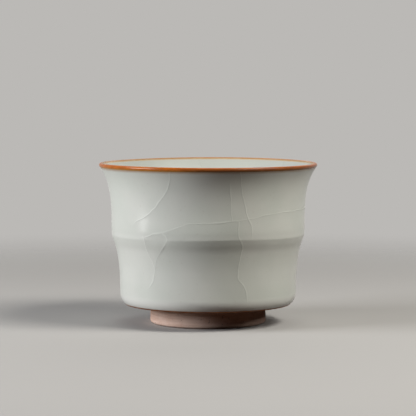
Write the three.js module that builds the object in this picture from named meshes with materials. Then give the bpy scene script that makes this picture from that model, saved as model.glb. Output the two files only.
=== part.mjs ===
// Gongfu teacup in the bamboo-joint shape: a flared cup with a step in its wall, a pale celadon glaze, a brown lip
// and a bare clay foot. Millimetres, +Z up. The origin is the middle of the circle that the foot stands on.
// Every piece is turned about Z. The coats and the clay under them share the points of one section, so they meet
// face to face, as fused glaze and clay do.
import * as THREE from "three";

// Overall sizes
const CUP_HEIGHT = 58.5;
const LIP_DIAMETER = 78; // across the crest of the lip
const UPPER_DIAMETER = 70.5; // where the upper wall stands plumb
const NODE_DIAMETER = 69.9; // at the edge of the bamboo node
const BASE_DIAMETER = 64.3; // where the lower wall stands plumb
const NODE_HEIGHT = 32.5; // standing surface to the edge of the node
const PLUMB_RISE = 6; // from the edge of the node to where the upper wall stands plumb

// Wall, floor and coats
const WALL_THICKNESS = 3.8; // clay and both coats
const FLOOR_THICKNESS = 5; // clay and the coat inside
const GLAZE_THICKNESS = 0.55;
const LIP_GLAZE_THICKNESS = 0.3; // the coats run thin towards the lip
const INNER_CORNER_RADIUS = 7; // between the floor and the wall inside

// Lip, with its leans in degrees from plumb
const LIP_THICKNESS = 1.5;
const LIP_OUTER_LEAN = 34;
const LIP_INNER_LEAN = 38;
const LIP_BAND_OUTSIDE = 0.4; // brown band below the rounded edge, along the wall
const LIP_BAND_INSIDE = 0.6;

// Bamboo node, with its leans in degrees from plumb
const NODE_EDGE_RADIUS = 2.5;
const NODE_UNDERCUT = 18; // below the edge
const NODE_LEAN = 4.5; // above the edge
const INNER_NODE_LEAN = 8; // the softer step inside

// Lower corner of the body
const CORNER_RADIUS = 5.5;
const CORNER_SWEEP = 50; // degrees of the corner that the glaze covers
const FOOT_LINE_WIDTH = 0.6; // brown edge of the glaze, along the corner

// Foot
const FOOT_HEIGHT = 7.45; // standing surface to the underside of the clay body
const FOOT_DIAMETER = 42.25;
const FOOT_SPREAD = 0.18; // the foot is this much wider on each side at its bottom than at its top
const FOOT_WALL = 4.4;
const FOOT_OUTER_ROUND = 1.2;
const FOOT_INNER_ROUND = 0.8;
const SLIP_THICKNESS = 0.4;
const SLIP_FILLET = 0.5; // slip squeezed out along the underside
const WELL_BARE_MARGIN = 0.6; // bare clay between the slip and the glaze in the foot well

// Reach of each curve's handles, as shares of the height that the curve climbs
const BASE_HANDLE = 0.46;
const COVE_HANDLE = 0.31;
const NODE_HANDLE = 0.35;
const FLARE_HANDLE = 0.45;
const LIP_HANDLE = 0.29;
const INNER_LIP_HANDLE = 0.44;
const INNER_WALL_HANDLE = 0.4;

// Facets
const TURN_SEGMENTS = 40;
const CURVE_STEP = 5; // most length of a curve for one facet
const ARC_STEP = 32; // most degrees of an arc for one facet
const LEAST_ARC_STEPS = 2;

const point = (radius, height) => new THREE.Vector2(radius, height);
const line = (from, to) => new THREE.LineCurve(from, to);
const bend = (from, handle, farHandle, to) => new THREE.CubicBezierCurve(from, handle, farHandle, to);
const radians = THREE.MathUtils.degToRad;
const degrees = THREE.MathUtils.radToDeg;

// The point that lies some way from another, up a slope that leans away from the axis. Less than none is down.
function upSlope(start, lean, distance) {
  const climb = point(Math.sin(radians(lean)), Math.cos(radians(lean)));
  return climb.multiplyScalar(distance).add(start);
}

function pointOnArc(centre, radius, angle) {
  const direction = point(Math.cos(radians(angle)), Math.sin(radians(angle)));
  return direction.multiplyScalar(radius).add(centre);
}

function arc(centre, radius, from, to) {
  return new THREE.EllipseCurve(centre.x, centre.y, radius, radius, radians(from), radians(to), to < from);
}

function stepsOf(curve) {
  if (curve.isLineCurve) return 1;
  if (curve.isCubicBezierCurve) return Math.ceil(curve.getLength() / CURVE_STEP);
  const swept = degrees(Math.abs(curve.aEndAngle - curve.aStartAngle));
  return Math.max(LEAST_ARC_STEPS, Math.ceil(swept / ARC_STEP));
}

// Section of the surface outside, from the lower edge of the glaze up to the brown band.
const baseRadius = BASE_DIAMETER / 2;
const upperRadius = UPPER_DIAMETER / 2;
const plumbHeight = NODE_HEIGHT + PLUMB_RISE;
const cornerDrop = (CORNER_RADIUS - GLAZE_THICKNESS) * Math.sin(radians(CORNER_SWEEP));
const cornerCentre = point(baseRadius - CORNER_RADIUS, FOOT_HEIGHT + cornerDrop);
const footLineTop = degrees(FOOT_LINE_WIDTH / CORNER_RADIUS) - CORNER_SWEEP;

const nodeEdge = point(NODE_DIAMETER / 2, NODE_HEIGHT);
const nodeTangent = NODE_EDGE_RADIUS * Math.tan(radians(NODE_UNDERCUT - NODE_LEAN) / 2);
const nodeBelow = upSlope(nodeEdge, NODE_UNDERCUT, -nodeTangent);
const nodeAbove = upSlope(nodeEdge, NODE_LEAN, nodeTangent);
const nodeCentre = pointOnArc(nodeBelow, NODE_EDGE_RADIUS, 180 - NODE_UNDERCUT);

const lipRound = LIP_THICKNESS / 2;
const lipCentre = point(LIP_DIAMETER / 2, CUP_HEIGHT - lipRound);
const lipOuterEnd = pointOnArc(lipCentre, lipRound, -LIP_OUTER_LEAN);
const lipInnerEnd = pointOnArc(lipCentre, lipRound, 180 - LIP_INNER_LEAN);
const bandOuterEdge = upSlope(lipOuterEnd, LIP_OUTER_LEAN, -LIP_BAND_OUTSIDE);
const bandInnerEdge = upSlope(lipInnerEnd, LIP_INNER_LEAN, -LIP_BAND_INSIDE);

function lowerWall() {
  const start = point(baseRadius, cornerCentre.y);
  const climb = nodeBelow.y - start.y;
  const handle = point(baseRadius, start.y + BASE_HANDLE * climb);
  const cove = upSlope(nodeBelow, NODE_UNDERCUT, -COVE_HANDLE * climb);
  return bend(start, handle, cove, nodeBelow);
}

function wallAboveNode() {
  const end = point(upperRadius, plumbHeight);
  const reach = NODE_HANDLE * (end.y - nodeAbove.y);
  return bend(nodeAbove, upSlope(nodeAbove, NODE_LEAN, reach), point(upperRadius, end.y - reach), end);
}

function outerFlare() {
  const start = point(upperRadius, plumbHeight);
  const climb = bandOuterEdge.y - start.y;
  const handle = point(upperRadius, start.y + FLARE_HANDLE * climb);
  const lipHandle = upSlope(bandOuterEdge, LIP_OUTER_LEAN, -LIP_HANDLE * climb);
  return bend(start, handle, lipHandle, bandOuterEdge);
}

// Section of the surface inside, from the brown band down to the middle of the floor.
const floorHeight = FOOT_HEIGHT + FLOOR_THICKNESS;
const innerPlumb = point(upperRadius - WALL_THICKNESS, plumbHeight);
const innerNode = point(nodeEdge.x - WALL_THICKNESS, NODE_HEIGHT);
const innerBase = point(baseRadius - WALL_THICKNESS, floorHeight + INNER_CORNER_RADIUS);
const innerCornerCentre = point(innerBase.x - INNER_CORNER_RADIUS, innerBase.y);

function innerFlare() {
  const climb = bandInnerEdge.y - innerPlumb.y;
  const lipHandle = upSlope(bandInnerEdge, LIP_INNER_LEAN, -INNER_LIP_HANDLE * climb);
  return bend(bandInnerEdge, lipHandle, upSlope(innerPlumb, 0, INNER_WALL_HANDLE * climb), innerPlumb);
}

function innerWallAboveNode() {
  const reach = NODE_HANDLE * (innerPlumb.y - innerNode.y);
  const nodeHandle = upSlope(innerNode, INNER_NODE_LEAN, reach);
  return bend(innerPlumb, upSlope(innerPlumb, 0, -reach), nodeHandle, innerNode);
}

function innerWallBelowNode() {
  const reach = INNER_WALL_HANDLE * (innerNode.y - innerBase.y);
  const nodeHandle = upSlope(innerNode, INNER_NODE_LEAN, -reach);
  return bend(innerNode, nodeHandle, upSlope(innerBase, 0, reach), innerBase);
}

// The whole surface as stretches in order, each named for its coat. A run of a stretch is a curve and the thickness
// of the coat at the curve's two ends.
const even = (curve) => ({ curve, coat: [GLAZE_THICKNESS, GLAZE_THICKNESS] });
const thin = (curve) => ({ curve, coat: [LIP_GLAZE_THICKNESS, LIP_GLAZE_THICKNESS] });
const stretches = {
  foot_line: [even(arc(cornerCentre, CORNER_RADIUS, -CORNER_SWEEP, footLineTop))],
  outer_glaze: [
    even(arc(cornerCentre, CORNER_RADIUS, footLineTop, 0)),
    even(lowerWall()),
    even(arc(nodeCentre, NODE_EDGE_RADIUS, -NODE_UNDERCUT, -NODE_LEAN)),
    even(wallAboveNode()),
    { curve: outerFlare(), coat: [GLAZE_THICKNESS, LIP_GLAZE_THICKNESS] },
  ],
  lip_band: [
    thin(line(bandOuterEdge, lipOuterEnd)),
    thin(arc(lipCentre, lipRound, -LIP_OUTER_LEAN, 0)),
    thin(arc(lipCentre, lipRound, 0, 90)),
    thin(arc(lipCentre, lipRound, 90, 180 - LIP_INNER_LEAN)),
    thin(line(lipInnerEnd, bandInnerEdge)),
  ],
  inner_glaze: [
    { curve: innerFlare(), coat: [LIP_GLAZE_THICKNESS, GLAZE_THICKNESS] },
    even(innerWallAboveNode()),
    even(innerWallBelowNode()),
    even(arc(innerCornerCentre, INNER_CORNER_RADIUS, 0, -90)),
    even(line(point(innerCornerCentre.x, floorHeight), point(0, floorHeight))),
  ],
};

// A sample of the surface: a point on it, and the point of the clay straight below the coat. Clay lies to the left
// of the way that the stretches run.
function sampleOf({ curve, coat }, share) {
  const surface = curve.getPoint(share);
  const way = curve.getTangent(share);
  const depth = THREE.MathUtils.lerp(coat[0], coat[1], share);
  const clay = point(-way.y, way.x).multiplyScalar(depth).add(surface);
  return { surface, clay };
}

// Each stretch starts with the sample that the one before it ended with.
const samples = {};
let lastSample = sampleOf(stretches.foot_line[0], 0);
for (const [coatName, runs] of Object.entries(stretches)) {
  samples[coatName] = [lastSample];
  for (const run of runs) {
    const steps = stepsOf(run.curve);
    for (let step = 1; step <= steps; step += 1) {
      lastSample = sampleOf(run, step / steps);
      samples[coatName].push(lastSample);
    }
  }
}

// A coat's outline goes one way along the clay and back along the surface.
function coatOutline(coatName) {
  const clay = samples[coatName].map((sample) => sample.clay).reverse();
  const surface = samples[coatName].map((sample) => sample.surface);
  return [...clay, ...surface];
}

// The clay body fills what lies under all the coats, down to the flat underside.
function clayBodyOutline() {
  const coated = Object.values(samples).flatMap((stretch, index) => stretch.slice(index ? 1 : 0));
  return [point(0, FOOT_HEIGHT), ...coated.map((sample) => sample.clay)];
}

// Foot ring, the slip that joins it to the body, and the glaze in its well.
const footRadius = FOOT_DIAMETER / 2;
const footTopRadius = footRadius - FOOT_SPREAD;
const footTopHeight = FOOT_HEIGHT - SLIP_THICKNESS;
const wellRadius = footRadius - FOOT_WALL;
const wellTopRadius = footTopRadius - FOOT_WALL;

function footRingOutline() {
  const outerRound = arc(point(footRadius - FOOT_OUTER_ROUND, FOOT_OUTER_ROUND), FOOT_OUTER_ROUND, -90, 0);
  const innerRound = arc(point(wellRadius + FOOT_INNER_ROUND, FOOT_INNER_ROUND), FOOT_INNER_ROUND, 180, 270);
  return [
    ...outerRound.getPoints(stepsOf(outerRound)),
    point(footTopRadius, footTopHeight),
    point(wellTopRadius, footTopHeight),
    ...innerRound.getPoints(stepsOf(innerRound)),
  ];
}

function slipOutline() {
  return [
    point(wellTopRadius, footTopHeight),
    point(footTopRadius, footTopHeight),
    point(footTopRadius + SLIP_FILLET, FOOT_HEIGHT),
    point(wellTopRadius - SLIP_FILLET, FOOT_HEIGHT),
  ];
}

function wellGlazeOutline() {
  const radius = wellTopRadius - SLIP_FILLET - WELL_BARE_MARGIN;
  const edge = arc(point(radius - GLAZE_THICKNESS, FOOT_HEIGHT), GLAZE_THICKNESS, -90, 0);
  return [point(0, FOOT_HEIGHT - GLAZE_THICKNESS), ...edge.getPoints(stepsOf(edge)), point(0, FOOT_HEIGHT)];
}

// Turns an outline about Z. An outline that doesn't start on the axis is closed on itself.
function turned(outline) {
  const startsOnAxis = outline[0].x === 0;
  const profile = startsOnAxis ? outline : [...outline, outline[0]];
  return new THREE.LatheGeometry(profile, TURN_SEGMENTS).rotateX(Math.PI / 2);
}

const celadon = { color: 0xccd2c8, roughness: 0.32, metalness: 0 };
const ironBrown = { color: 0xa35f33, roughness: 0.28, metalness: 0 };
const darkBrown = { color: 0x6d4328, roughness: 0.4, metalness: 0 };
const bareClay = { color: 0xb99e90, roughness: 0.9, metalness: 0 };

const cup = new THREE.Group();
const pieces = [
  ["clay_body", clayBodyOutline(), bareClay],
  ["foot_ring", footRingOutline(), bareClay],
  ["luting_slip", slipOutline(), bareClay],
  ["outer_glaze", coatOutline("outer_glaze"), celadon],
  ["inner_glaze", coatOutline("inner_glaze"), celadon],
  ["lip_band", coatOutline("lip_band"), ironBrown],
  ["foot_line", coatOutline("foot_line"), darkBrown],
  ["well_glaze", wellGlazeOutline(), celadon],
];
for (const [name, outline, finish] of pieces) {
  const mesh = new THREE.Mesh(turned(outline), new THREE.MeshStandardMaterial(finish));
  mesh.name = name;
  cup.add(mesh);
}

export default cup;
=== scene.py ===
"""Gongfu teacup as it looks: the section of its solids turned finely, with glaze, brown lip and crackle.

Sections are in millimetres, as (radius, height) points. A place on the glaze is an angle in degrees
round the cup, from the front, which faces -Y, towards +X, with a height outside or a distance from the
lip inside. The meshes are in metres.
"""

import math

import bpy
import numpy as np
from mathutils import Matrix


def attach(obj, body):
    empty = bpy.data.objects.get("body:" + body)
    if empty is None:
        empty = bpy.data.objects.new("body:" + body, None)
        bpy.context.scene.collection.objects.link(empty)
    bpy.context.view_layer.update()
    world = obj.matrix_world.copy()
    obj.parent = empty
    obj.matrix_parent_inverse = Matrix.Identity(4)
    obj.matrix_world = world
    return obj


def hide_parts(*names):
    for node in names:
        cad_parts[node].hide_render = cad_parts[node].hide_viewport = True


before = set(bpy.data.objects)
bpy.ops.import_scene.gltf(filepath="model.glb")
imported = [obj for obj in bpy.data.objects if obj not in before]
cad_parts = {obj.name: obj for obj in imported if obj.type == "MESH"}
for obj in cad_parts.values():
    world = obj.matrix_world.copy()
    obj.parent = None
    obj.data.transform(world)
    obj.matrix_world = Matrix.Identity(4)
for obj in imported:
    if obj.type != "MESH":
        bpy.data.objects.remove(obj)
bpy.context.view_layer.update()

MM = 0.001

# Sizes of the section, in millimetres and degrees, as the solids have them
CUP_HEIGHT = 58.5
LIP_DIAMETER = 78
UPPER_DIAMETER = 70.5
NODE_DIAMETER = 69.9
BASE_DIAMETER = 64.3
NODE_HEIGHT = 32.5
PLUMB_RISE = 6
WALL_THICKNESS = 3.8
FLOOR_THICKNESS = 5
GLAZE_THICKNESS = 0.55
LIP_GLAZE_THICKNESS = 0.3
INNER_CORNER_RADIUS = 7
LIP_THICKNESS = 1.5
LIP_OUTER_LEAN = 34
LIP_INNER_LEAN = 38
LIP_BAND_OUTSIDE = 0.4
LIP_BAND_INSIDE = 0.6
NODE_EDGE_RADIUS = 2.5
NODE_UNDERCUT = 18
NODE_LEAN = 4.5
INNER_NODE_LEAN = 8
CORNER_RADIUS = 5.5
CORNER_SWEEP = 50
FOOT_LINE_WIDTH = 0.6
FOOT_HEIGHT = 7.45
FOOT_DIAMETER = 42.25
FOOT_SPREAD = 0.18
FOOT_WALL = 4.4
FOOT_OUTER_ROUND = 1.2
FOOT_INNER_ROUND = 0.8
SLIP_THICKNESS = 0.4
SLIP_FILLET = 0.5
WELL_BARE_MARGIN = 0.6

# Reach of each curve's handles, as shares of the height that the curve climbs
BASE_HANDLE = 0.46
COVE_HANDLE = 0.31
NODE_HANDLE = 0.35
FLARE_HANDLE = 0.45
LIP_HANDLE = 0.29
INNER_LIP_HANDLE = 0.44
INNER_WALL_HANDLE = 0.4

# Fineness of the meshes
TURN_SEGMENTS = 288
SECTION_STEP = 0.6
LEAST_STEPS = 5
HIDDEN_STRIDE = 4
SHARP_ANGLE = 40
ON_AXIS = 1e-6


def up_slope(start, lean, distance):
    """The point some way up a slope that leans away from the axis."""
    turn = math.radians(lean)
    return np.array([start[0] + distance * math.sin(turn), start[1] + distance * math.cos(turn)])


def on_arc(centre, radius, angle):
    turn = math.radians(angle)
    return np.array([centre[0] + radius * math.cos(turn), centre[1] + radius * math.sin(turn)])


def shares(length):
    return np.linspace(0, 1, max(LEAST_STEPS, math.ceil(length / SECTION_STEP)) + 1)


def line(start, end):
    start, end = np.array(start, float), np.array(end, float)
    return start + shares(np.linalg.norm(end - start))[:, None] * (end - start)


def arc(centre, radius, start, end):
    swept = radius * math.radians(abs(end - start))
    return np.array([on_arc(centre, radius, start + share * (end - start)) for share in shares(swept)])


def bend(start, handle, far_handle, end):
    """A cubic curve with two handles."""
    corners = [np.array(corner, float) for corner in (start, handle, far_handle, end)]
    share = shares(np.linalg.norm(corners[3] - corners[0]))[:, None]
    rest = 1 - share
    weights = (rest**3, 3 * share * rest**2, 3 * share**2 * rest, share**3)
    return sum(weight * corner for weight, corner in zip(weights, corners))


def joined(*runs):
    """Runs end to end, without the points that they share."""
    return np.vstack([runs[0], *(run[1:] for run in runs[1:])])


def hill(at, middle, reach, size):
    """A smooth hill of some size, which falls away over its reach."""
    return size * np.exp(-(((at - middle) / reach) ** 2))


def ramp(at, start, end):
    """Nought before the start and one past the end. The end may lie below the start."""
    return np.clip((at - start) / (end - start), 0, 1)


def wrapped(value, turn):
    """A value within half a turn of nought."""
    return (value + turn / 2) % turn - turn / 2


# Section of the surface, from the lower edge of the glaze up the outside, over the lip and to the floor
base_radius = BASE_DIAMETER / 2
upper_radius = UPPER_DIAMETER / 2
plumb_height = NODE_HEIGHT + PLUMB_RISE
corner_drop = (CORNER_RADIUS - GLAZE_THICKNESS) * math.sin(math.radians(CORNER_SWEEP))
corner_centre = (base_radius - CORNER_RADIUS, FOOT_HEIGHT + corner_drop)
foot_line_top = math.degrees(FOOT_LINE_WIDTH / CORNER_RADIUS) - CORNER_SWEEP

node_edge = (NODE_DIAMETER / 2, NODE_HEIGHT)
node_tangent = NODE_EDGE_RADIUS * math.tan(math.radians(NODE_UNDERCUT - NODE_LEAN) / 2)
node_below = up_slope(node_edge, NODE_UNDERCUT, -node_tangent)
node_above = up_slope(node_edge, NODE_LEAN, node_tangent)
node_centre = on_arc(node_below, NODE_EDGE_RADIUS, 180 - NODE_UNDERCUT)

lip_round = LIP_THICKNESS / 2
lip_centre = (LIP_DIAMETER / 2, CUP_HEIGHT - lip_round)
lip_outer_end = on_arc(lip_centre, lip_round, -LIP_OUTER_LEAN)
lip_inner_end = on_arc(lip_centre, lip_round, 180 - LIP_INNER_LEAN)
band_outer_edge = up_slope(lip_outer_end, LIP_OUTER_LEAN, -LIP_BAND_OUTSIDE)
band_inner_edge = up_slope(lip_inner_end, LIP_INNER_LEAN, -LIP_BAND_INSIDE)

floor_height = FOOT_HEIGHT + FLOOR_THICKNESS
inner_plumb = (upper_radius - WALL_THICKNESS, plumb_height)
inner_node = (node_edge[0] - WALL_THICKNESS, NODE_HEIGHT)
inner_base = (base_radius - WALL_THICKNESS, floor_height + INNER_CORNER_RADIUS)
inner_corner_centre = (inner_base[0] - INNER_CORNER_RADIUS, inner_base[1])


def lower_wall():
    start = (base_radius, corner_centre[1])
    climb = node_below[1] - start[1]
    cove = up_slope(node_below, NODE_UNDERCUT, -COVE_HANDLE * climb)
    return bend(start, up_slope(start, 0, BASE_HANDLE * climb), cove, node_below)


def wall_above_node():
    end = (upper_radius, plumb_height)
    reach = NODE_HANDLE * (end[1] - node_above[1])
    return bend(node_above, up_slope(node_above, NODE_LEAN, reach), up_slope(end, 0, -reach), end)


def outer_flare():
    start = (upper_radius, plumb_height)
    climb = band_outer_edge[1] - start[1]
    lip_handle = up_slope(band_outer_edge, LIP_OUTER_LEAN, -LIP_HANDLE * climb)
    return bend(start, up_slope(start, 0, FLARE_HANDLE * climb), lip_handle, band_outer_edge)


def inner_flare():
    climb = band_inner_edge[1] - inner_plumb[1]
    lip_handle = up_slope(band_inner_edge, LIP_INNER_LEAN, -INNER_LIP_HANDLE * climb)
    wall_handle = up_slope(inner_plumb, 0, INNER_WALL_HANDLE * climb)
    return bend(band_inner_edge, lip_handle, wall_handle, inner_plumb)


def inner_wall_above_node():
    reach = NODE_HANDLE * (inner_plumb[1] - inner_node[1])
    node_handle = up_slope(inner_node, INNER_NODE_LEAN, reach)
    return bend(inner_plumb, up_slope(inner_plumb, 0, -reach), node_handle, inner_node)


def inner_wall_below_node():
    reach = INNER_WALL_HANDLE * (inner_node[1] - inner_base[1])
    node_handle = up_slope(inner_node, INNER_NODE_LEAN, -reach)
    return bend(inner_node, node_handle, up_slope(inner_base, 0, reach), inner_base)


foot_edge_skin = arc(corner_centre, CORNER_RADIUS, -CORNER_SWEEP, foot_line_top)
outer_skin = joined(
    arc(corner_centre, CORNER_RADIUS, foot_line_top, 0),
    lower_wall(),
    arc(node_centre, NODE_EDGE_RADIUS, -NODE_UNDERCUT, -NODE_LEAN),
    wall_above_node(),
    outer_flare(),
)
lip_skin = joined(
    line(band_outer_edge, lip_outer_end),
    arc(lip_centre, lip_round, -LIP_OUTER_LEAN, 90),
    arc(lip_centre, lip_round, 90, 180 - LIP_INNER_LEAN),
    line(lip_inner_end, band_inner_edge),
)
inner_skin = joined(
    inner_flare(),
    inner_wall_above_node(),
    inner_wall_below_node(),
    arc(inner_corner_centre, INNER_CORNER_RADIUS, 0, -90),
    line((inner_corner_centre[0], floor_height), (0, floor_height)),
)


def ways(run):
    """Unit directions along a run at its points."""
    steps = np.gradient(run, axis=0)
    return steps / np.linalg.norm(steps, axis=1, keepdims=True)


def coat_depth(run):
    """Thickness of the coat along a run: it eases from the full coat to the thin one up the flare."""
    rise = ramp(run[:, 1], plumb_height, band_outer_edge[1])
    return GLAZE_THICKNESS + rise * (LIP_GLAZE_THICKNESS - GLAZE_THICKNESS)


def clay_under(run):
    """Points of the clay straight below a run. Clay lies to the left of the way that the runs go."""
    way = ways(run)
    left = np.column_stack([-way[:, 1], way[:, 0]])
    return run + left * coat_depth(run)[:, None]


def sparse(run):
    """A run that no one sees, with fewer points and the same ends."""
    return np.vstack([run[:-1:HIDDEN_STRIDE], run[-1:]])


def coat_outline(run):
    return np.vstack([run, sparse(clay_under(run))[::-1]])


# Shape that the wheel and the fire leave: a little out of round and uneven, more so towards the lip.
# Each wave has its turns, its size in millimetres and its start in radians.
OUT_OF_ROUND = ((2, 0.10, 0.6), (3, 0.05, -1.1))
LIP_WAVES = ((2, 0.06, -0.4), (3, 0.04, 1.0))
# Each wave of the glaze has its turns, its climb in radians a millimetre, its size and its start.
GLAZE_WAVES = ((5, 0.31, 0.018, 0.0), (9, -0.23, 0.013, 1.3), (14, 0.52, 0.008, 2.2))
# Swells of the section: height, reach and size in millimetres
SECTION_SWELLS = ((34.2, 2.4, 0.13), (30.8, 1.7, 0.16))
# Places where the node's edge lies higher or lower: angle and reach in degrees, lift in millimetres
NODE_SWELLS = ((13, 30, 0.50), (-84, 28, -0.22))
NODE_REACH = 8
# Patch at the left of the node where its edge is soft: heights and angles of its left and right sides
PATCH_LEFT = ((23.5, -35.6), (27.1, -38.6), (29.4, -39.6), (33.3, -39.8), (38, -40.5))
PATCH_RIGHT = (
    (23.5, -35.0), (26.8, -32.1), (29.2, -28.5), (31.3, -25.2), (33.1, -23.9), (35, -26), (38, -30),
)
PATCH_SOFTNESS = 2.0
PATCH_END_FADE = 2
PATCH_LEFT_FADE = 0.4  # share of the patch's width
PATCH_RIGHT_FADE = 1.6  # degrees
SMOOTHING_STEP = 0.1
SMOOTHING_REACH = 8


def patch_shape():
    """How far the soft edge lies out of the true section, by height."""
    heights = np.arange(outer_skin[0][1], outer_skin[-1][1], SMOOTHING_STEP)
    radii = np.interp(heights, outer_skin[:, 1], outer_skin[:, 0])
    reach = np.arange(-SMOOTHING_REACH, SMOOTHING_REACH + SMOOTHING_STEP / 2, SMOOTHING_STEP)
    weights = np.exp(-((reach / PATCH_SOFTNESS) ** 2) / 2)
    padded = np.pad(radii, len(reach) // 2, mode="edge")
    soft = np.convolve(padded, weights / weights.sum(), mode="valid")
    return heights, soft - radii


patch_heights, patch_depths = patch_shape()


def node_patch(angle, height):
    """How far the patch with the soft edge lies out of the true section. Angles are in radians."""
    off = wrapped(np.degrees(angle), 360)
    left = np.interp(height, *np.transpose(PATCH_LEFT))
    right = np.interp(height, *np.transpose(PATCH_RIGHT))
    lowest, highest = PATCH_LEFT[0][0], PATCH_LEFT[-1][0]
    from_left = ramp(off, left, left + PATCH_LEFT_FADE * (right - left))
    from_right = ramp(off, right + PATCH_RIGHT_FADE / 2, right - PATCH_RIGHT_FADE / 2)
    from_below = ramp(height, lowest, lowest + PATCH_END_FADE)
    from_above = ramp(height, highest, highest - PATCH_END_FADE)
    share = from_left * from_right * from_below * from_above
    return share * np.interp(height, patch_heights, patch_depths)


def hand_made(angle, radius, height):
    """A point of the true section moved to where the made cup has it. Angles are in radians."""
    rise = height / CUP_HEIGHT
    width = radius / upper_radius
    out = rise * sum(size * np.cos(turns * (angle - start)) for turns, size, start in OUT_OF_ROUND)
    for turns, climb, size, start in GLAZE_WAVES:
        out = out + size * np.sin(turns * angle + climb * height + start)
    for swell in SECTION_SWELLS:
        out = out + hill(height, *swell)
    up = rise**2 * sum(size * np.cos(turns * (angle - start)) for turns, size, start in LIP_WAVES)
    near_node = hill(height, NODE_HEIGHT, NODE_REACH, 1)
    for place, reach, lift in NODE_SWELLS:
        up = up + near_node * hill(wrapped(np.degrees(angle) - place, 360), 0, reach, lift)
    outside = ramp(radius, inner_node[0], inner_node[0] + WALL_THICKNESS - GLAZE_THICKNESS)
    return radius + width * out + outside * node_patch(angle, height), height + width * up


def in_space(angle, radius, height):
    return np.stack([radius * np.sin(angle), -radius * np.cos(angle), height], axis=-1) * MM


def new_piece(name, points, faces, material):
    mesh = bpy.data.meshes.new(name)
    mesh.from_pydata(points.tolist(), [], faces)
    mesh.polygons.foreach_set("use_smooth", [True] * len(mesh.polygons))
    mesh.set_sharp_from_angle(angle=math.radians(SHARP_ANGLE))
    mesh.materials.append(material)
    piece = bpy.data.objects.new(name, mesh)
    bpy.context.scene.collection.objects.link(piece)
    return piece


def turned(name, outline, material):
    """A closed mesh of an outline turned about Z, and the angle and outline point of each vertex."""
    angles = np.arange(TURN_SEGMENTS) * 2 * math.pi / TURN_SEGMENTS
    on_axis = outline[:, 0] < ON_AXIS
    firsts, vertex_angles, vertex_places = [], [], []
    for number, alone in enumerate(on_axis):
        firsts.append(len(vertex_angles))
        ring = [0.0] if alone else angles
        vertex_angles.extend(ring)
        vertex_places.extend([number] * len(ring))
    vertex_angles, vertex_places = np.array(vertex_angles), np.array(vertex_places)
    radius, height = hand_made(vertex_angles, *outline[vertex_places].T)
    faces = []
    for number in range(len(outline)):
        following = (number + 1) % len(outline)
        low, high = firsts[number], firsts[following]
        if on_axis[number] and on_axis[following]:
            continue
        for step in range(TURN_SEGMENTS):
            beside = (step + 1) % TURN_SEGMENTS
            if on_axis[number]:
                faces.append((low, high + beside, high + step))
            elif on_axis[following]:
                faces.append((low + step, low + beside, high))
            else:
                faces.append((low + step, low + beside, high + beside, high + step))
    points = in_space(vertex_angles, radius, height)
    return new_piece(name, points, faces, material), vertex_angles, vertex_places


def write_values(piece, name, values):
    attribute = piece.data.attributes.new(name, "FLOAT", "POINT")
    attribute.data.foreach_set("value", np.asarray(values, np.float32))


# Crackle lines: the places that each goes through, and how much painted light the glaze has at its left,
# with painted shade at its right; below nought the two swap.
# Outside, a place is an angle and a height. The first seven are the lines that the photograph shows.
OUTER_CRACKS = (
    (
        (
            (-19.5, 56.9), (-20.6, 53.8), (-23.2, 50.2), (-26.6, 47.5), (-29.2, 45.7), (-31.9, 43.8),
            (-35.0, 42.3), (-38.2, 41.0), (-42.0, 39.8), (-47.0, 38.5), (-50.1, 36.5),
        ),
        -0.05,
    ),
    (
        (
            (104, 43.4), (76.8, 42.4), (55.3, 42.1), (43.6, 41.8), (33.6, 41.2), (28.0, 40.4),
            (22.1, 39.9), (12.6, 39.3), (5.8, 38.8), (-3.0, 38.7), (-13.2, 38.2), (-18.6, 36.8),
            (-23.5, 35.8), (-27.0, 35.1), (-34.2, 34.4), (-39.8, 33.3), (-45.0, 32.9),
        ),
        -0.02,
    ),
    (((16.6, 56.9), (19.0, 50.1), (21.1, 45.6), (22.8, 40.8), (25.0, 38.0), (26.4, 31.2)), 0.045),
    (((11.3, 54.6), (12.8, 46.6), (13.7, 39.3)), 0.045),
    (
        (
            (17.5, 39.5), (18.0, 32.9), (20.4, 30.4), (19.9, 27.2), (18.9, 23.2), (18.9, 19.1),
            (22.7, 16.6), (24.5, 14.2), (25.5, 8.6),
        ),
        0.06,
    ),
    (((-40.4, 34.0), (-39.6, 31.4), (-39.6, 29.4), (-38.6, 27.1), (-36.0, 24.0), (-35.1, 22.2)), -0.03),
    (
        (
            (-27.0, 35.1), (-24.8, 34.4), (-23.9, 33.1), (-25.2, 31.3), (-28.5, 29.2), (-32.1, 26.8),
            (-34.3, 24.3), (-35.2, 21.9), (-36.2, 19.2), (-38.1, 16.8), (-40.9, 15.2), (-44.5, 14.0),
        ),
        -0.03,
    ),
    (
        (
            (100, 56.9), (103, 51), (101, 46.5), (104, 43.4), (109, 37), (106, 31.5), (110, 25), (108, 19),
        ),
        0.03,
    ),
    (((124, 41.8), (126, 36.5), (122, 31.5), (125, 27.5), (128, 24.5), (127, 16), (131, 9)), 0.03),
    (((104, 43.4), (124, 41.8), (140, 42.6), (158, 40.4), (181, 41.3), (199, 39.1), (214, 39.8)), -0.02),
    (((146, 56.9), (149, 51), (145, 46), (148, 41.6), (154, 36), (152, 31), (157, 22), (155, 13)), 0.03),
    (((183, 41.2), (181, 35), (185, 29), (182, 22), (187, 15), (186, 9)), 0.03),
    (
        (
            (206, 56.9), (204, 50), (208, 44.5), (205, 39.4), (211, 33), (209, 27.5), (220, 22), (236, 18),
        ),
        -0.03,
    ),
    (((128, 24.5), (139, 23), (149, 25.5), (157, 22)), 0.02),
    (((240, 56.9), (238, 50), (242, 44), (249, 40.5), (259, 38.2), (269, 37.6)), -0.03),
    (((214, 39.8), (228, 42.0), (242, 44)), -0.02),
    (((249, 40.5), (248, 34), (252, 28), (249, 20), (253, 12)), 0.03),
    (((252, 28), (260, 26.2), (269, 27)), -0.02),
)
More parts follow.
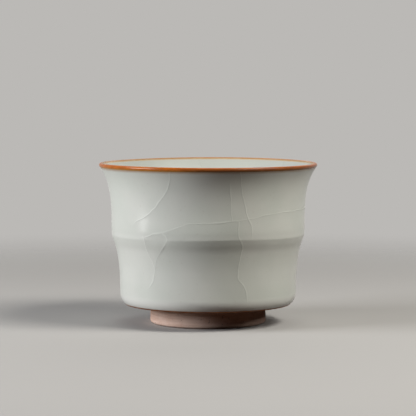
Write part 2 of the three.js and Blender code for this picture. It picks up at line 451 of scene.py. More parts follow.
# Inside, a place is an angle and the distance from the lower edge of the brown lip.
INNER_CRACKS = (
    (((12, 0.2), (15, 6), (10, 13), (14, 21), (9, 30), (13, 39), (20, 47)), 0.03),
    (((14, 21), (34, 23), (55, 20.5), (76, 22.5), (95, 19.5)), -0.02),
    (((71, 0.2), (74, 8), (70, 15), (76, 22.5), (73, 31), (79, 40), (95, 50), (120, 56)), 0.03),
    (((131, 0.2), (128, 9), (133, 18), (129, 27), (134, 36), (128, 44)), -0.03),
    (((129, 27), (149, 25), (168, 27.5), (190, 24.5)), 0.02),
    (((186, 0.2), (183, 8), (188, 16), (190, 24.5), (186, 33), (191, 42), (205, 51), (232, 57)), -0.03),
    (((190, 24.5), (212, 26.5), (233, 23), (256, 25), (278, 21)), 0.02),
    (((243, 0.2), (247, 11), (241, 18), (244, 24), (239, 34), (246, 45)), 0.03),
    (((301, 0.2), (298, 8), (303, 16), (299, 25), (304, 35), (297, 43), (288, 51)), -0.03),
    (((299, 25), (320, 22), (341, 24.5), (372, 21)), 0.02),
)

# Raised seams along the crackle lines, in millimetres
SEAM_STEP = 0.35
SEAM_HALF_WIDTH = 0.5
SEAM_HEIGHT = 0.034
SEAM_SINK = 0.012
SEAM_ROOT = 0.15
SEAM_TAPER = 4
SEAM_MEETING = 0.9
LEAST_TAPER = 0.04
# Shares of a seam's half width where its top and its root have points
TOP_SHARES = np.array([-1, -0.66, -0.33, 0, 0.33, 0.66, 1])
ROOT_SHARES = np.array([0.7, -0.7])
# How far a seam wanders to its sides, and the steps that it does so over
TRACK_WANDER = 0.07
TRACK_WANDER_STEPS = 9
# Unevenness of a seam's width and height: size, steps that it runs over, least factor and most
WIDTH_UNEVENNESS = (0.18, 15, 0.6, 1.4)
HEIGHT_UNEVENNESS = (0.22, 21, 0.5, 1.5)
# Painted light and painted shade on the two sides of a seam, and how the painted light and shade beside a
# crackle line fades
SEAM_PAINTED_LIGHT = 0.04
SEAM_PAINTED_SHADE = 0.09
TONE_REACH = 6.5
TONE_STEP = 1.2
TONE_FADE = 5
WAY_ROUND = 2 * math.pi * upper_radius
random_source = np.random.default_rng(58)


def rolled_out(places):
    """Places on the glaze as distances in millimetres round the cup and along its section."""
    places = np.array(places, float)
    return np.column_stack([np.radians(places[:, 0]) * upper_radius, places[:, 1]])


def through(points, step):
    """A smooth line through points, with points a step apart."""
    gaps = np.linalg.norm(np.diff(points, axis=0), axis=1)
    knots = np.concatenate([[0], np.cumsum(gaps)])
    slopes = np.gradient(points, knots, axis=0)
    at = np.linspace(0, knots[-1], max(2, math.ceil(knots[-1] / step)) + 1)
    first = np.clip(np.searchsorted(knots, at, side="right") - 1, 0, len(gaps) - 1)
    gap = gaps[first][:, None]
    share = (at - knots[first])[:, None] / gap
    rest = 1 - share
    return (
        (1 + 2 * share) * rest**2 * points[first]
        + share * rest**2 * gap * slopes[first]
        + share**2 * (3 - 2 * share) * points[first + 1]
        - share**2 * rest * gap * slopes[first + 1]
    )


def wandering(count, reach):
    """Smooth random numbers with a spread of about one."""
    window = np.hanning(reach + 2)[1:-1]
    drawn = np.convolve(random_source.standard_normal(count + reach), window, mode="same")[:count]
    return drawn / math.sqrt((window**2).sum())


def light_and_shade_beside(cracks, places):
    """Painted light on one side and painted shade on the other of the crackle lines that pass by places on
    the glaze.
    """
    spots = rolled_out(places)
    crack_light_and_shade = np.zeros(len(spots))
    for crack, painted_step in cracks:
        track = through(rolled_out(crack), TONE_STEP)
        middle = track[:, 0].mean()
        spots[:, 0] = middle + wrapped(spots[:, 0] - middle, WAY_ROUND)
        near = np.full(len(spots), np.inf)
        step = np.zeros(len(spots))
        length = TONE_STEP * (len(track) - 1)
        for number, (start, end) in enumerate(zip(track[:-1], track[1:])):
            way = end - start
            from_start = spots - start
            share = np.clip(from_start @ way / (way @ way), 0, 1)
            off = np.linalg.norm(from_start - share[:, None] * way, axis=1)
            side = np.sign(way[0] * from_start[:, 1] - way[1] * from_start[:, 0])
            run = (number + share) * TONE_STEP
            ease = np.clip(np.minimum(run, length - run) / TONE_FADE, 0, 1)
            closer = off < near
            near = np.where(closer, off, near)
            step = np.where(closer, side * ease, step)
        # painted light on one side of the line and painted shade on the other, fading away from it
        crack_light_and_shade += painted_step * step * np.exp(-near / TONE_REACH)
    return crack_light_and_shade


def is_free(end, crack, cracks, along):
    """Whether a line's end dies away in the glaze, rather than at its edge or at another line."""
    if min(abs(end[1] - along.min()), abs(end[1] - along.max())) < SEAM_MEETING:
        return False
    for other, _ in cracks:
        if other is not crack:
            off = through(rolled_out(other), SEAM_STEP) - end
            off[:, 0] = wrapped(off[:, 0], WAY_ROUND)
            if np.linalg.norm(off, axis=1).min() < SEAM_MEETING:
                return False
    return True


def unevenness(count, size, steps, least, most):
    """Random factors about one along a seam."""
    return np.clip(1 + size * wandering(count, steps), least, most)


def seam_taper(track, crack, cracks, along):
    """How full a seam is along its line: it tapers to an end that dies away in the glaze."""
    count = len(track)
    taper = np.ones(count)
    for end in (0, -1):
        if is_free(track[end], crack, cracks, along):
            from_end = np.abs(np.arange(count) - end % count) * SEAM_STEP
            taper = np.minimum(taper, np.clip(from_end / SEAM_TAPER, LEAST_TAPER, 1))
    return taper


def on_skin(track, skin, along):
    """The points of a line on the glaze, in millimetres, the glaze's normals and the ways across it."""
    angle = track[:, 0] / upper_radius
    order = np.argsort(along)
    at, known = track[:, 1], along[order]
    columns = (*skin[order].T, *ways(skin)[order].T)
    radius, height, way_out, way_up = (np.interp(at, known, column) for column in columns)
    middle = in_space(angle, *hand_made(angle, radius, height)) / MM
    normal = in_space(angle, way_up, -way_out)
    normal /= np.linalg.norm(normal, axis=1, keepdims=True)
    across = np.cross(normal, np.gradient(middle, axis=0))
    across /= np.linalg.norm(across, axis=1, keepdims=True)
    return middle, normal, across


def seams(name, cracks, skin, along, material):
    """The fine raised lines of the crackle, each a closed strip sunk a little into the glaze.

    With the piece come the place of each vertex, and how far it is to the side of its line with painted
    light, above nought, or to the side with painted shade, below nought.
    """
    shares_across = np.concatenate([TOP_SHARES, ROOT_SHARES])
    size = len(shares_across)
    points, faces, places, painted_sides = [], [], [], []
    for crack, painted_step in cracks:
        track = through(rolled_out(crack), SEAM_STEP)
        count = len(track)
        way = ways(track)
        left = np.column_stack([-way[:, 1], way[:, 0]])
        track = track + TRACK_WANDER * wandering(count, TRACK_WANDER_STEPS)[:, None] * left
        track[:, 1] = np.clip(track[:, 1], along.min(), along.max())
        middle, normal, across = on_skin(track, skin, along)
        taper = seam_taper(track, crack, cracks, along)
        width = SEAM_HALF_WIDTH * np.sqrt(taper) * unevenness(count, *WIDTH_UNEVENNESS)
        height = SEAM_HEIGHT * taper * unevenness(count, *HEIGHT_UNEVENNESS)
        top = np.outer(height, (1 + np.cos(math.pi * TOP_SHARES)) / 2) - SEAM_SINK
        lift = np.hstack([top, np.full((count, len(ROOT_SHARES)), -SEAM_ROOT)])[:, :, None]
        reach = np.outer(width, shares_across)[:, :, None]
        ring = middle[:, None] + across[:, None] * reach + normal[:, None] * lift
        spots = (track[:, None] + left[:, None] * reach).reshape(-1, 2)
        first = sum(len(part) for part in points)
        points.append(ring.reshape(-1, 3) * MM)
        places.append(np.column_stack([np.degrees(spots[:, 0] / upper_radius), spots[:, 1]]))
        # painted light on one side of each seam and painted shade on the other
        painted_sides.append(np.outer(taper, np.sign(painted_step) * np.sin(math.pi * shares_across)).ravel())
        for step in range(count - 1):
            low, high = first + step * size, first + (step + 1) * size
            for corner in range(size):
                beside = (corner + 1) % size
                faces.append((low + corner, low + beside, high + beside, high + corner))
        faces.append(tuple(first + corner for corner in reversed(range(size))))
        faces.append(tuple(first + (count - 1) * size + corner for corner in range(size)))
    piece = new_piece(name, np.vstack(points), faces, material)
    return piece, np.vstack(places), np.concatenate(painted_sides)


# Finishes
def linear(part):
    """A share of a screen colour as a share of light."""
    return part / 12.92 if part <= 0.04045 else ((part + 0.055) / 1.055) ** 2.4


def colour(code):
    """A colour from how it looks on a screen."""
    parts = [int(code[start:start + 2], 16) / 255 for start in (0, 2, 4)]
    return (*map(linear, parts), 1)


class Paint:
    """A material of shader nodes, with short calls for the nodes that the finishes use."""

    def __init__(self, name):
        self.material = bpy.data.materials.new(name)
        self.material.use_nodes = True
        self.tree = self.material.node_tree
        self.shader = self.tree.nodes["Principled BSDF"]
        self.place = self.add("ShaderNodeTexCoord").outputs["Object"]

    def add(self, kind, **settings):
        node = self.tree.nodes.new(kind)
        for setting, value in settings.items():
            setattr(node, setting, value)
        return node

    def feed(self, socket, value):
        """Links a node's output to a socket, or gives the socket a plain value."""
        if isinstance(value, bpy.types.NodeSocket):
            self.tree.links.new(value, socket)
        else:
            socket.default_value = value

    def math(self, operation, first, second=0.0):
        node = self.add("ShaderNodeMath", operation=operation)
        self.feed(node.inputs[0], first)
        self.feed(node.inputs[1], second)
        return node.outputs[0]

    def stretched(self, x, y, z):
        node = self.add("ShaderNodeVectorMath", operation="MULTIPLY")
        self.feed(node.inputs[0], self.place)
        self.feed(node.inputs[1], (x, y, z))
        return node.outputs[0]

    def noise(self, scale, detail, place=None):
        """Cloudy noise about a half. Its scale is in clouds a metre, and its detail in finer layers."""
        node = self.add("ShaderNodeTexNoise")
        self.feed(node.inputs["Vector"], place or self.place)
        node.inputs["Scale"].default_value = scale
        node.inputs["Detail"].default_value = detail
        return node.outputs["Fac"]

    def between(self, value, low, high, at_low, at_high):
        """A smooth step from one result at a low value to another at a high one."""
        node = self.add("ShaderNodeMapRange", interpolation_type="SMOOTHSTEP")
        for socket, given in zip(node.inputs, (value, low, high, at_low, at_high)):
            self.feed(socket, given)
        return node.outputs[0]

    def share(self, value, start, full, most=1.0):
        """A share that grows from nought, where a value starts, to the most, where it is full."""
        return self.between(value, start, full, 0.0, most)

    def mix(self, share, first, second):
        node = self.add("ShaderNodeMix", data_type="RGBA")
        self.feed(node.inputs[0], share)
        self.feed(node.inputs[6], first)
        self.feed(node.inputs[7], second)
        return node.outputs[2]

    def scaled(self, tint, factor):
        node = self.add("ShaderNodeVectorMath", operation="SCALE")
        self.feed(node.inputs[0], tint)
        self.feed(node.inputs["Scale"], factor)
        return node.outputs[0]

    def value(self, name):
        """What the mesh has written at its vertices."""
        return self.add("ShaderNodeAttribute", attribute_name=name).outputs["Fac"]

    def height(self):
        node = self.add("ShaderNodeSeparateXYZ")
        self.feed(node.inputs[0], self.place)
        return node.outputs["Z"]

    def bump(self, height, depth, under=None):
        node = self.add("ShaderNodeBump")
        node.inputs["Strength"].default_value = 1.0
        node.inputs["Distance"].default_value = depth
        self.feed(node.inputs["Height"], height)
        if under is not None:
            self.feed(node.inputs["Normal"], under)
        return node.outputs["Normal"]

    def finish(self, tint, roughness, normal, specular):
        self.feed(self.shader.inputs["Base Color"], tint)
        self.feed(self.shader.inputs["Roughness"], roughness)
        self.feed(self.shader.inputs["Normal"], normal)
        self.shader.inputs["Specular IOR Level"].default_value = specular
        return self.material


# Colours of the glaze, the lip, the foot line and the clay
GLAZE = colour("d2d4cc")
GLAZE_CLOUD = colour("cdd1c8")
# darker where the glaze pooled, and the colour of painted shade inside below the lip
GLAZE_POOLED_AND_SHADED = colour("b3b6ae")
# pale where the glaze is thin, and the colour of painted light outside
GLAZE_THIN_AND_PAINTED_LIGHT = colour("e3e4dd")
GLAZE_SPECK = colour("a5998a")
GLAZE_AT_LIP = colour("a5763f")
GLAZE_AT_FOOT = colour("8c6238")
LIP_ORANGE = colour("ba6418")
LIP_STREAK = colour("a6560f")
LIP_FRINGE = colour("ac7f36")
# colour of the painted shade on the lip band
LIP_PAINTED_SHADE = colour("3c1a04")
LIP_INSIDE = colour("aa8459")
LIP_INSIDE_FRINGE = colour("cbbfa6")
EDGE_BROWN = colour("8a4a16")
EDGE_ORANGE = colour("b8702c")
EDGE_FLECK = colour("5c3010")
CLAY = colour("dec2b2")
CLAY_CLOUD = colour("d0af9d")
CLAY_LINE = colour("b8917c")
CLAY_SAND = colour("ead6c8")
CLAY_GRAIN = colour("6d4d3b")

# Where the brown stains the celadon, from the edge of the lip band and of the foot line, in millimetres
LIP_STAIN_START = -0.95
LIP_STAIN_END = 0.3
FOOT_STAIN_REACH = 0.5
STAIN_WAVER = 0.2
STAIN_AT_LIP = 0.8
STAIN_AT_FOOT = 0.6
# Colours across the lip band, which is one wide from outside to inside: start, full place and most share
LIP_FRINGE_SPAN = (0.24, 0.0, 0.9)
# painted shade across the band's outer part
LIP_SHADE_SPAN = (0.56, 0.30, 0.52)
LIP_INSIDE_SPAN = (0.58, 0.82, 1.0)
LIP_INSIDE_FRINGE_SPAN = (0.80, 1.0, 0.7)
LIP_WAVER = 0.16
# Roughness, least and most, and what the glaze inside and the seams add to it
GLAZE_ROUGHNESS = (0.225, 0.245)
LIP_ROUGHNESS = (0.21, 0.27)
EDGE_ROUGHNESS = (0.38, 0.52)
CLAY_ROUGHNESS = (0.82, 0.95)
ROUGHER_INSIDE = 0.2
ROUGHER_SEAM = 0.25
NOISE_LOW, NOISE_HIGH = 0.3, 0.7  # the noise mostly lies between these
# Depth of the unevenness that only the light shows, in metres
GLAZE_WAVINESS = 0.003 * MM
GLAZE_GRAIN = 0.001 * MM
LIP_WAVINESS = 0.012 * MM
EDGE_GRAIN = 0.02 * MM
TURNING_DEPTH = 0.03 * MM
SAND_DEPTH = 0.03 * MM
# Gloss of each finish
GLAZE_SPECULAR = 0.36
LIP_SPECULAR = 0.24
EDGE_SPECULAR = 0.2
CLAY_SPECULAR = 0.06


def celadon():
    """Satin celadon: cloudy, darker where it pooled and with painted shade inside below the lip, paler
    where it is thin and with painted light outside, with painted light and shade beside the crackle lines,
    stained beside the brown.
    """
    paint = Paint("celadon_glaze")
    cloud = paint.share(paint.noise(scale=48, detail=3), 0.36, 0.64)
    tint = paint.mix(cloud, GLAZE, GLAZE_CLOUD)
    depth_and_shading = paint.value("depth_and_shading")
    # darker where the glaze pooled, and painted shade inside below the lip
    tint = paint.mix(paint.share(depth_and_shading, 0, 1), tint, GLAZE_POOLED_AND_SHADED)
    # paler where the glaze is thin, with painted light in the cove, on the roll and along the node's edge
    tint = paint.mix(paint.share(depth_and_shading, 0, -1), tint, GLAZE_THIN_AND_PAINTED_LIGHT)
    # painted light and painted shade beside the crackle lines scale the colour
    tint = paint.scaled(tint, paint.math("ADD", paint.value("crack_light_and_shade"), 1.0))
    speck = paint.share(paint.noise(scale=900, detail=1), 0.70, 0.76, most=0.10)
    tint = paint.mix(speck, tint, GLAZE_SPECK)
    outside = paint.value("outside")
    waver = paint.math("MULTIPLY", paint.noise(scale=300, detail=1), STAIN_WAVER * MM)
    place = paint.math("ADD", paint.height(), waver)
    lip_edge, foot_edge = band_outer_edge[1], outer_skin[0][1]
    start, full = (lip_edge + LIP_STAIN_START) * MM, (lip_edge + LIP_STAIN_END) * MM
    stain = paint.math("MULTIPLY", paint.share(place, start, full, STAIN_AT_LIP), outside)
    tint = paint.mix(stain, tint, GLAZE_AT_LIP)
    start, full = (foot_edge + FOOT_STAIN_REACH) * MM, foot_edge * MM
    stain = paint.math("MULTIPLY", paint.share(place, start, full, STAIN_AT_FOOT), outside)
    tint = paint.mix(stain, tint, GLAZE_AT_FOOT)
    roughness = paint.between(paint.noise(scale=160, detail=2), NOISE_LOW, NOISE_HIGH, *GLAZE_ROUGHNESS)
    roughness = paint.math("ADD", roughness, paint.between(outside, 0, 1, ROUGHER_INSIDE, 0.0))
    roughness = paint.math("ADD", roughness, paint.share(paint.value("seam"), 0, 1, ROUGHER_SEAM))
    normal = paint.bump(paint.noise(scale=230, detail=2), GLAZE_WAVINESS)
    normal = paint.bump(paint.noise(scale=1500, detail=2), GLAZE_GRAIN, normal)
    return paint.finish(tint, roughness, normal, GLAZE_SPECULAR)


def brown_lip():
    """Glossy iron brown: orange over the edge, golden at its thin fringe, with painted shade on its outer
    band along the front and the right.
    """
    paint = Paint("brown_lip")
    streak = paint.noise(scale=260, detail=3, place=paint.stretched(1, 1, 4))
    tint = paint.mix(paint.share(streak, 0.35, 0.65), LIP_ORANGE, LIP_STREAK)
    waver = paint.math("SUBTRACT", paint.noise(scale=420, detail=2), 0.5)
    across = paint.math("ADD", paint.value("across"), paint.math("MULTIPLY", waver, LIP_WAVER))
    tint = paint.mix(paint.share(across, *LIP_FRINGE_SPAN), tint, LIP_FRINGE)
    # painted shade on the band's outer side along the front and the right
    lip_shade = paint.math("MULTIPLY", paint.share(across, *LIP_SHADE_SPAN), paint.value("lip_shade"))
    tint = paint.mix(lip_shade, tint, LIP_PAINTED_SHADE)
    tint = paint.mix(paint.share(across, *LIP_INSIDE_SPAN), tint, LIP_INSIDE)
    tint = paint.mix(paint.share(across, *LIP_INSIDE_FRINGE_SPAN), tint, LIP_INSIDE_FRINGE)
    roughness = paint.between(streak, NOISE_LOW, NOISE_HIGH, *LIP_ROUGHNESS)
    normal = paint.bump(paint.noise(scale=600, detail=2), LIP_WAVINESS)
    return paint.finish(tint, roughness, normal, LIP_SPECULAR)


def brown_edge():
    """Dark brown where the glaze stops, orange in places."""
    paint = Paint("brown_edge")
    patch = paint.share(paint.noise(scale=90, detail=3), 0.42, 0.66)
    tint = paint.mix(patch, EDGE_BROWN, EDGE_ORANGE)
    fleck = paint.share(paint.noise(scale=1400, detail=2), 0.5, 0.7, most=0.35)
    tint = paint.mix(fleck, tint, EDGE_FLECK)
    roughness = paint.between(paint.noise(scale=500, detail=2), NOISE_LOW, NOISE_HIGH, *EDGE_ROUGHNESS)
    normal = paint.bump(paint.noise(scale=900, detail=2), EDGE_GRAIN)
    return paint.finish(tint, roughness, normal, EDGE_SPECULAR)


def bare_clay():
    """Dry pinkish stoneware: sandy, with faint turning lines and dark grains."""
    paint = Paint("bare_clay")
    cloud = paint.share(paint.noise(scale=120, detail=3), 0.34, 0.66)
    tint = paint.mix(cloud, CLAY, CLAY_CLOUD)
    turning = paint.noise(scale=1, detail=2, place=paint.stretched(60, 60, 1600))
    tint = paint.mix(paint.share(turning, 0.45, 0.72, most=0.35), tint, CLAY_LINE)
    sand = paint.noise(scale=2600, detail=2)
    tint = paint.mix(paint.share(sand, 0.54, 0.72, most=0.4), tint, CLAY_SAND)
    grain = paint.share(paint.noise(scale=1300, detail=1), 0.68, 0.74, most=0.5)
    tint = paint.mix(grain, tint, CLAY_GRAIN)
    roughness = paint.between(sand, NOISE_LOW, NOISE_HIGH, *CLAY_ROUGHNESS)
    normal = paint.bump(turning, TURNING_DEPTH)
    normal = paint.bump(sand, SAND_DEPTH, normal)
    return paint.finish(tint, roughness, normal, CLAY_SPECULAR)


celadon_glaze = celadon()
lip_glaze = brown_lip()
edge_glaze = brown_edge()
foot_clay = bare_clay()

# Where the glaze outside is paler: painted light in the cove and on the roll, thin glaze and a painted
# highlight at the node's edge, a paler lower wall and thin glaze towards the lip. Height and reach in
# millimetres, and a share below nought
# painted light in the cove under the node, which lies in its shade
COVE_PAINTED_LIGHT = (27.5, 3.5, -0.25)
# thin glaze over the node's edge, with a painted highlight along it
NODE_THIN_AND_LIT = (NODE_HEIGHT + 0.8, 1.2, -0.32)
# painted light from below on the roll, which faces down
ROLL_PAINTED_LIGHT = (8.7, 2.4, -0.95)
# paler on the lower wall
WALL_PALER = -0.32
WALL_PALER_RISE = (9, 17)
WALL_PALER_FALL = (26, 21)
LIP_THIN = -0.3
LIP_THIN_RISE = (52, 57)

# Painted shade inside below the lip, and where the glaze inside and in the well has pooled: shares, and
# distances in millimetres
# painted shade inside below the lip
INNER_LIP_PAINTED_SHADE = 1.0
INNER_LIP_SHADE_REACH = 14
CORNER_POOL = 0.9
CORNER_POOL_REACH = 6
CORNER_POOL_SHARE = 0.8  # how far round the corner, as a share of its radius
FLOOR_POOL = 0.45
WELL_POOL = 0.3


def outer_thin_and_lit(height):
    """How much paler the glaze outside is, by height: nought where it is full, below nought where it is
    thin and where it has painted light.
    """
    wall = WALL_PALER * ramp(height, *WALL_PALER_RISE) * ramp(height, *WALL_PALER_FALL)
    lower = np.minimum(wall, hill(height, *ROLL_PAINTED_LIGHT))
    lip = LIP_THIN * ramp(height, *LIP_THIN_RISE)
    return hill(height, *COVE_PAINTED_LIGHT) + lower + hill(height, *NODE_THIN_AND_LIT) + lip


def inner_pool_and_shade(distance):
    """How dark the glaze inside is: painted shade below the lip, and glaze pooled along the floor's corner
    and on the floor.
    """
    # painted shade on the inside below the lip
    lip = INNER_LIP_PAINTED_SHADE * ramp(distance, INNER_LIP_SHADE_REACH, 0)
    corner = hill(distance, corner_distance, CORNER_POOL_REACH, CORNER_POOL)
    floor = FLOOR_POOL * ramp(distance, corner_distance, corner_distance + CORNER_POOL_REACH)
    return np.maximum(lip, np.maximum(corner, floor))


def distances(run):
    return np.concatenate([[0], np.cumsum(np.linalg.norm(np.diff(run, axis=0), axis=1))])


outer_along = outer_skin[:, 1]
inner_along = distances(inner_skin)
corner_start = float(np.interp(-inner_base[1], -inner_skin[:, 1], inner_along))
corner_distance = corner_start + CORNER_POOL_SHARE * INNER_CORNER_RADIUS


def coat_values(along):
    """The distance along the skin for each point of a coat's outline, its hidden side included."""
    hidden = sparse(along[:, None])[::-1, 0]
    return np.concatenate([along, hidden])


def write_glaze(piece, depth_and_shading, crack_light_and_shade, outside, seam):
    """What the celadon finish reads at each vertex. The last two are the same all over a piece."""
    write_values(piece, "depth_and_shading", depth_and_shading)
    write_values(piece, "crack_light_and_shade", crack_light_and_shade)
    write_values(piece, "outside", np.full(len(depth_and_shading), float(outside)))
    write_values(piece, "seam", np.full(len(depth_and_shading), float(seam)))


def glaze_coat(name, skin, along, cracks, pool_of):
    piece, angles, numbers = turned(name, coat_outline(skin), celadon_glaze)
    at = coat_values(along)[numbers]
    # painted light and painted shade beside the crackle lines
    crack_light_and_shade = light_and_shade_beside(cracks, np.column_stack([np.degrees(angles), at]))
    write_glaze(piece, pool_of(at), crack_light_and_shade, outside=pool_of is outer_thin_and_lit, seam=False)
    return piece


def crackle(name, cracks, skin, along, pool_of):
    piece, places, side = seams(name, cracks, skin, along, celadon_glaze)
    # each seam's sides get painted light and painted shade, on top of those beside its line
    crack_light_and_shade = light_and_shade_beside(cracks, places) + np.where(side > 0, SEAM_PAINTED_LIGHT, SEAM_PAINTED_SHADE) * side
    write_glaze(piece, pool_of(places[:, 1]), crack_light_and_shade, outside=pool_of is outer_thin_and_lit, seam=True)
    return piece


glaze_outside = glaze_coat("glaze_outside", outer_skin, outer_along, OUTER_CRACKS, outer_thin_and_lit)
glaze_inside = glaze_coat("glaze_inside", inner_skin, inner_along, INNER_CRACKS, inner_pool_and_shade)
crackle_outside = crackle("crackle_seams_outside", OUTER_CRACKS, outer_skin, outer_along, outer_thin_and_lit)
crackle_inside = crackle("crackle_seams_inside", INNER_CRACKS, inner_skin, inner_along, inner_pool_and_shade)

# How much painted shade the brown lip's outer band has, by angle in degrees: most along the front and the
# right
LIP_SHADE_BY_ANGLE = ((-17, 0), (-5, 1), (80, 1), (120, 0))

brown_lip_piece, lip_angles, lip_numbers = turned("brown_lip", coat_outline(lip_skin), lip_glaze)
lip_along = distances(lip_skin)
write_values(brown_lip_piece, "across", coat_values(lip_along / lip_along[-1])[lip_numbers])
lip_off_front = wrapped(np.degrees(lip_angles), 360)
write_values(brown_lip_piece, "lip_shade", np.interp(lip_off_front, *np.transpose(LIP_SHADE_BY_ANGLE)))
brown_edge_piece = turned("brown_foot_edge", coat_outline(foot_edge_skin), edge_glaze)[0]

# Turning lines on the bare clay, in millimetres: a coarse wave that wavers, and a finer one on it
GROOVE_PITCH = 0.95
GROOVE_DEPTH = 0.035
GROOVE_STEP = 0.2
GROOVE_EASE = 0.8
GROOVE_WAVER = 1.1
GROOVE_WAVER_RATE = 1.7
COARSE_SHARE = 0.6
FINE_SHARE = 0.4
FINE_RATE = 2.3
FINE_START = 1
# Middle of the slip's hollow side, as shares of its fillet and its thickness
SLIP_HOLLOW_OUT = 0.35
SLIP_HOLLOW_UP = 0.55

foot_radius = FOOT_DIAMETER / 2
foot_top_radius = foot_radius - FOOT_SPREAD
foot_top_height = FOOT_HEIGHT - SLIP_THICKNESS
well_radius = foot_radius - FOOT_WALL
well_top_radius = foot_top_radius - FOOT_WALL


def grooves(along):
    wave = along / GROOVE_PITCH * 2 * math.pi + GROOVE_WAVER * np.sin(along * GROOVE_WAVER_RATE)
    coarse = COARSE_SHARE * np.sin(wave)
    fine = FINE_SHARE * np.sin(FINE_RATE * wave + FINE_START)
    return GROOVE_DEPTH * (coarse + fine)


def grooved(run, side):
    """A straight run of bare clay with turning lines, which stand out on the given side."""
    length = np.linalg.norm(run[-1] - run[0])
    share = np.linspace(0, 1, math.ceil(length / GROOVE_STEP) + 1)
    even = run[0] + share[:, None] * (run[-1] - run[0])
    ease = np.clip(np.minimum(share, 1 - share) * length / GROOVE_EASE, 0, 1)
    return even + np.outer(grooves(share * length) * ease, side)


def clay_outline():
    skin = joined(foot_edge_skin, outer_skin, lip_skin, inner_skin)
    under = clay_under(skin)
    seen = grooved(np.array([(foot_top_radius, FOOT_HEIGHT), under[0]]), (0, 1))
    return np.vstack([[(0, FOOT_HEIGHT)], seen, sparse(under[1:])])


def foot_outline():
    outer_round = arc((foot_radius - FOOT_OUTER_ROUND, FOOT_OUTER_ROUND), FOOT_OUTER_ROUND, -90, 0)
    inner_round = arc((well_radius + FOOT_INNER_ROUND, FOOT_INNER_ROUND), FOOT_INNER_ROUND, 180, 270)
    outer_wall = grooved(np.array([outer_round[-1], (foot_top_radius, foot_top_height)]), (-1, 0))
    inner_wall = grooved(np.array([(well_top_radius, foot_top_height), inner_round[0]]), (1, 0))
    return np.vstack([joined(outer_round, outer_wall), joined(inner_wall, inner_round)])


def slip_outline():
    hollow_height = foot_top_height + SLIP_THICKNESS * SLIP_HOLLOW_UP
    return np.array([
        (well_top_radius, foot_top_height),
        (foot_top_radius, foot_top_height),
        (foot_top_radius + SLIP_FILLET * SLIP_HOLLOW_OUT, hollow_height),
        (foot_top_radius + SLIP_FILLET, FOOT_HEIGHT),
        (well_top_radius - SLIP_FILLET, FOOT_HEIGHT),
        (well_top_radius - SLIP_FILLET * SLIP_HOLLOW_OUT, hollow_height),
    ])


def well_glaze_outline():
    radius = well_top_radius - SLIP_FILLET - WELL_BARE_MARGIN
    edge = arc((radius - GLAZE_THICKNESS, FOOT_HEIGHT), GLAZE_THICKNESS, -90, 0)
    floor = line((0, FOOT_HEIGHT - GLAZE_THICKNESS), edge[0])
    return np.vstack([joined(floor, edge), [(0, FOOT_HEIGHT)]])


clay_shell = turned("clay_shell", clay_outline(), foot_clay)[0]
clay_foot = turned("clay_foot", foot_outline(), foot_clay)[0]
slip_joint = turned("slip_joint", slip_outline(), foot_clay)[0]
glaze_in_well, _, well_numbers = turned("glaze_in_well", well_glaze_outline(), celadon_glaze)
well_count = len(well_numbers)
write_glaze(glaze_in_well, np.full(well_count, WELL_POOL), np.zeros(well_count), outside=False, seam=False)

# Each piece with its slot and the node that it dresses
PIECES = (
    (glaze_outside, "celadon_glaze", "outer_glaze"),
    (glaze_inside, "celadon_glaze", "inner_glaze"),
    (crackle_outside, "celadon_glaze", None),
    (crackle_inside, "celadon_glaze", None),
    (brown_lip_piece, "brown_lip", "lip_band"),
    (brown_edge_piece, "brown_edge", "foot_line"),
    (clay_shell, "bare_clay", "clay_body"),
    (clay_foot, "bare_clay", "foot_ring"),
    (slip_joint, "bare_clay", "luting_slip"),
    (glaze_in_well, "celadon_glaze", "well_glaze"),
)
for piece, slot, node in PIECES:
    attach(piece, "root")
    if node:
        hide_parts(node)

# Studio: a pale floor that fades into a pale surround, soft lamps and the camera, in metres
STUDIO_PALE = colour("bbb9b6")
FLOOR_PALE = colour("b4b2af")
FLOOR_DARK = colour("40322a")
SURROUND_LIGHT = 0.01
FADE_START = 0.15
FADE_END = 0.40
FLOOR_SEGMENTS = 96
CUP_MIDDLE = np.array([0, 0, 0.03])
COOL = (0.95, 0.96, 1.0)
WARM = (1.0, 0.975, 0.925)
PLAIN = (1.0, 0.99, 0.97)
# Each lamp: azimuth and elevation in degrees, distance, width, height, power in watts, and tint
LAMPS = (
    ("key_left", -73, 19, 0.70, 0.36, 0.30, 4.95, COOL),
    ("window_left", -80, 1, 0.70, 0.13, 0.13, 0.52, PLAIN),
    ("fill_right", 58, 50, 0.70, 0.26, 0.26, 3.65, WARM),
    ("side_right", 74, 30, 0.70, 0.20, 0.20, 1.05, WARM),
    ("front_top", -25, 64, 0.70, 0.44, 0.30, 0.15, PLAIN),
    ("back_soft", 172, 40, 1.00, 1.00, 0.80, 1.8, PLAIN),
)
CAMERA_DISTANCE = 0.7086
CAMERA_HEIGHT = 0.09357
CAMERA_TILT = 4.1757
CAMERA_LENS = 168.39  # millimetres, as is the sensor
CAMERA_SENSOR = 36
CAMERA_CLIP = 0.01


def seen_directly(tree):
    """One for rays from the camera, a mirror or a glass, and nought for those that light the cup."""
    path = tree.nodes.new("ShaderNodeLightPath")
    seen = path.outputs["Is Camera Ray"]
    for kind in ("Is Glossy Ray", "Is Transmission Ray"):
        either = tree.nodes.new("ShaderNodeMath")
        either.operation = "MAXIMUM"
        tree.links.new(seen, either.inputs[0])
        tree.links.new(path.outputs[kind], either.inputs[1])
        seen = either.outputs[0]
    return seen


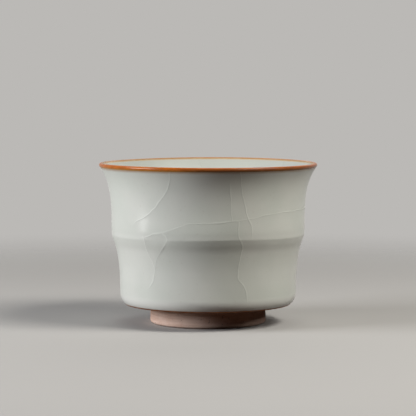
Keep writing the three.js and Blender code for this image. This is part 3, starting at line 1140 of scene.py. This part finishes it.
def studio_floor():
    paint = Paint("studio_floor")
    tree = paint.tree
    pale = paint.add("ShaderNodeBsdfDiffuse")
    pale.inputs["Color"].default_value = FLOOR_PALE
    dark = paint.add("ShaderNodeBsdfDiffuse")
    dark.inputs["Color"].default_value = FLOOR_DARK
    shown = paint.add("ShaderNodeMixShader")
    tree.links.new(seen_directly(tree), shown.inputs[0])
    tree.links.new(dark.outputs[0], shown.inputs[1])
    tree.links.new(pale.outputs[0], shown.inputs[2])
    length = paint.add("ShaderNodeVectorMath", operation="LENGTH")
    tree.links.new(paint.place, length.inputs[0])
    faded = paint.add("ShaderNodeMixShader")
    tree.links.new(paint.share(length.outputs["Value"], FADE_START, FADE_END), faded.inputs[0])
    tree.links.new(shown.outputs[0], faded.inputs[1])
    tree.links.new(paint.add("ShaderNodeBsdfTransparent").outputs[0], faded.inputs[2])
    tree.links.new(faded.outputs[0], tree.nodes["Material Output"].inputs["Surface"])
    tree.nodes.remove(paint.shader)
    rim = np.arange(FLOOR_SEGMENTS) * 2 * math.pi / FLOOR_SEGMENTS
    points = np.column_stack([np.cos(rim), np.sin(rim), np.zeros(FLOOR_SEGMENTS)]) * FADE_END
    mesh = bpy.data.meshes.new("studio_floor")
    mesh.from_pydata(points.tolist(), [], [tuple(range(FLOOR_SEGMENTS))])
    mesh.materials.append(paint.material)
    floor = bpy.data.objects.new("studio_floor", mesh)
    bpy.context.scene.collection.objects.link(floor)


def surround():
    world = bpy.data.worlds.new("studio")
    bpy.context.scene.world = world
    world.use_nodes = True
    tree = world.node_tree
    tint = tree.nodes.new("ShaderNodeMix")
    tint.data_type = "RGBA"
    tree.links.new(seen_directly(tree), tint.inputs[0])
    tint.inputs[6].default_value = (SURROUND_LIGHT, SURROUND_LIGHT, SURROUND_LIGHT, 1)
    tint.inputs[7].default_value = STUDIO_PALE
    tree.links.new(tint.outputs[2], tree.nodes["Background"].inputs["Color"])


def lamp(name, azimuth, elevation, distance, width, height, power, tint):
    """A soft box that faces the cup. Its azimuth is an angle round the cup, as the places have it."""
    light = bpy.data.lights.new(name, "AREA")
    light.shape = "RECTANGLE"
    light.size, light.size_y = width, height
    light.energy = power
    light.color = tint
    box = bpy.data.objects.new(name, light)
    turn, climb = math.radians(azimuth), math.radians(elevation)
    box.location = CUP_MIDDLE + distance * np.array(
        [math.sin(turn) * math.cos(climb), -math.cos(turn) * math.cos(climb), math.sin(climb)]
    )
    box.rotation_euler = (math.pi / 2 - climb, 0, turn)
    bpy.context.scene.collection.objects.link(box)


studio_floor()
surround()
for settings in LAMPS:
    lamp(*settings)

view = bpy.data.cameras.new("photo_view")
view.lens = CAMERA_LENS
view.sensor_width = CAMERA_SENSOR
view.clip_start = CAMERA_CLIP
camera = bpy.data.objects.new("photo_view", view)
camera.location = (0, -CAMERA_DISTANCE, CAMERA_HEIGHT)
camera.rotation_euler = (math.radians(90 - CAMERA_TILT), 0, 0)
bpy.context.scene.collection.objects.link(camera)
bpy.context.scene.camera = camera
bpy.context.scene.view_settings.view_transform = "Standard"
